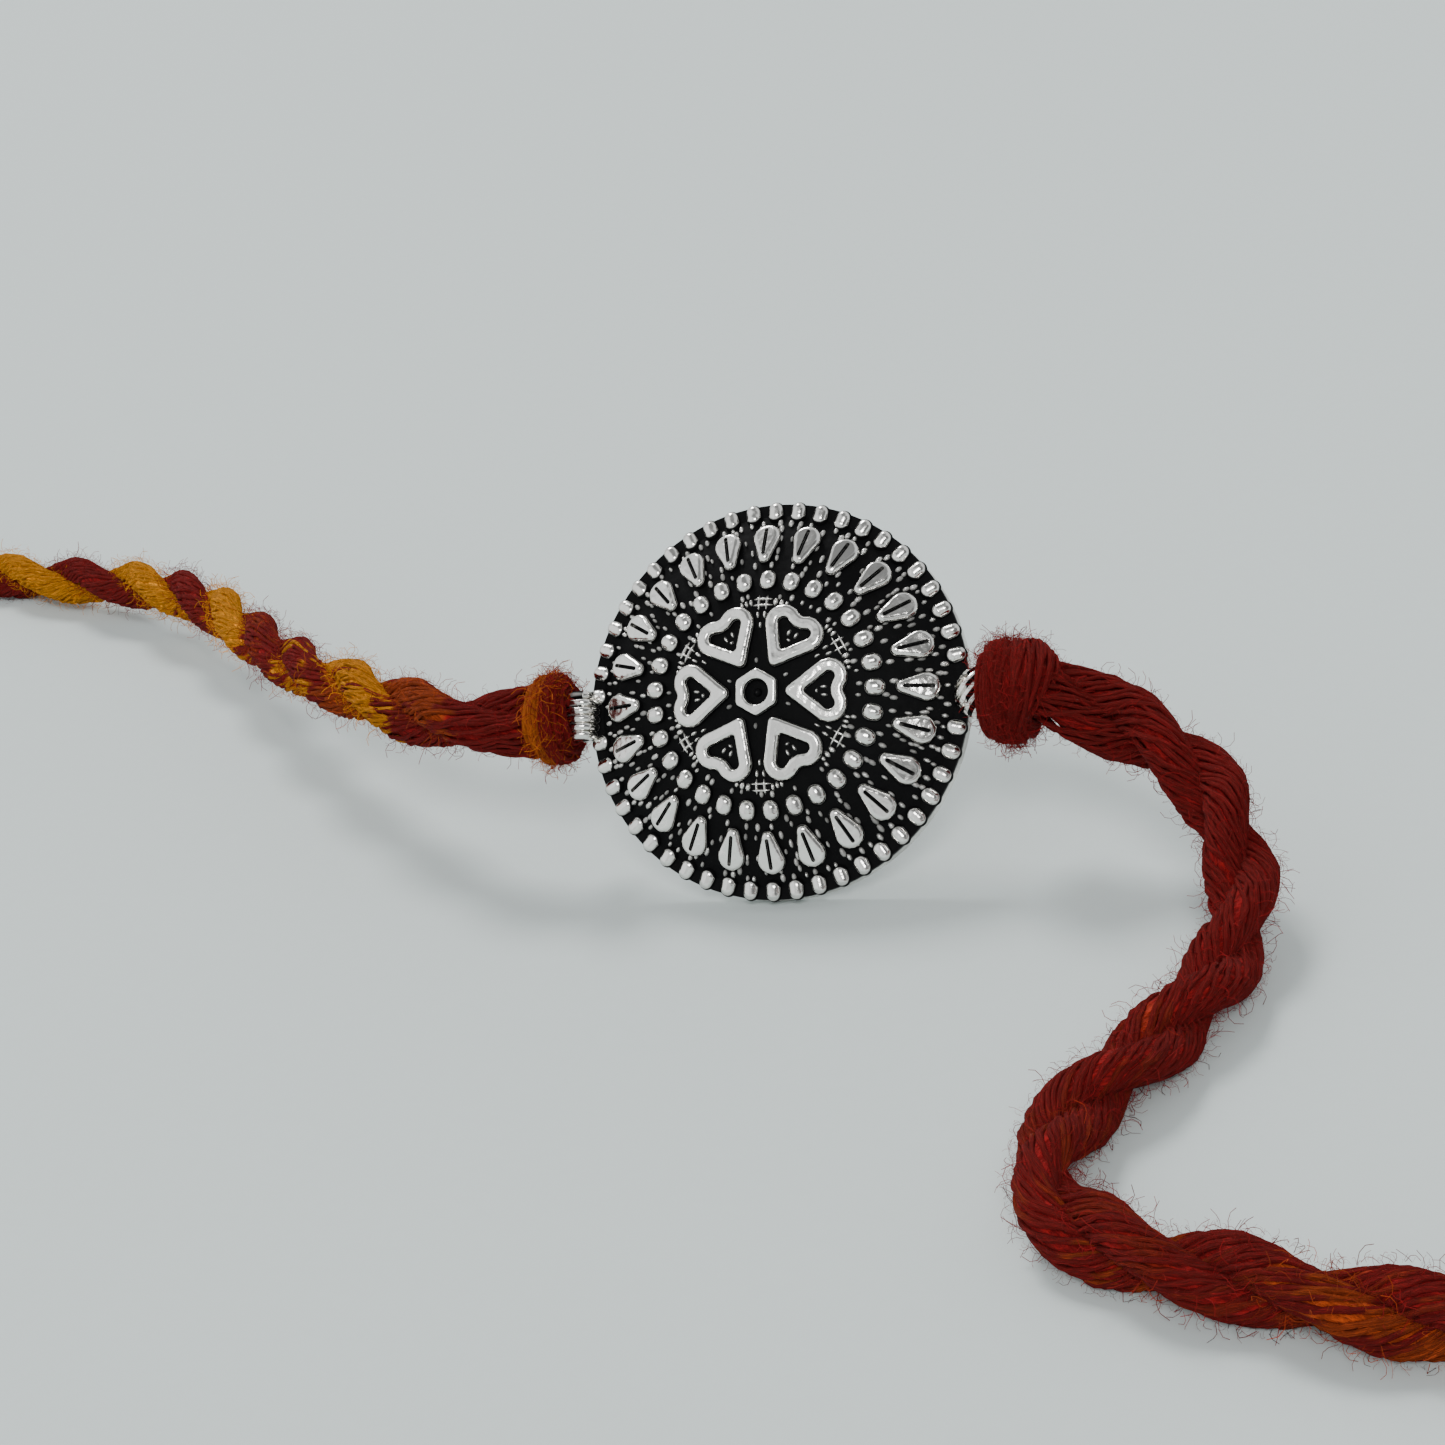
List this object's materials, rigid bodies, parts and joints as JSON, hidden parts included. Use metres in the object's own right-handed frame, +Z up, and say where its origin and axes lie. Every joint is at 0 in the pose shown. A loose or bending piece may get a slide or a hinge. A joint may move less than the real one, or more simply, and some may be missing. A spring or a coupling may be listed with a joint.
{
  "type": "rakhi thread bracelet",
  "caption": "Rakhi bracelet: a round domed oxidised medallion with cast relief, tied between two twisted two-colour thread cords with end knots.",
  "frame": {"origin": "point of the surface that the lower back edge of the medallion's rim stands on, in the medallion's middle plane", "axes": "+Z up, the medallion's front faces -Y and leans back towards +Y, +X towards the right-hand lug seen from the front"},
  "size_m": [0.1939, 0.1132, 0.0222],
  "materials": {
    "oxidised_silver": "cast, blackened in the recesses and polished on the relief",
    "maroon_thread": "matt cotton yarn",
    "orange_thread": "matt cotton yarn"
  },
  "bodies": {
    "root": {"medallion": "oxidised_silver", "left_binding": "orange_thread", "right_binding": "maroon_thread", "left_cord": "maroon_thread", "right_cord": "maroon_thread", "left_end_knot": "maroon_thread", "right_end_knot": "maroon_thread"}
  },
  "joints": []
}
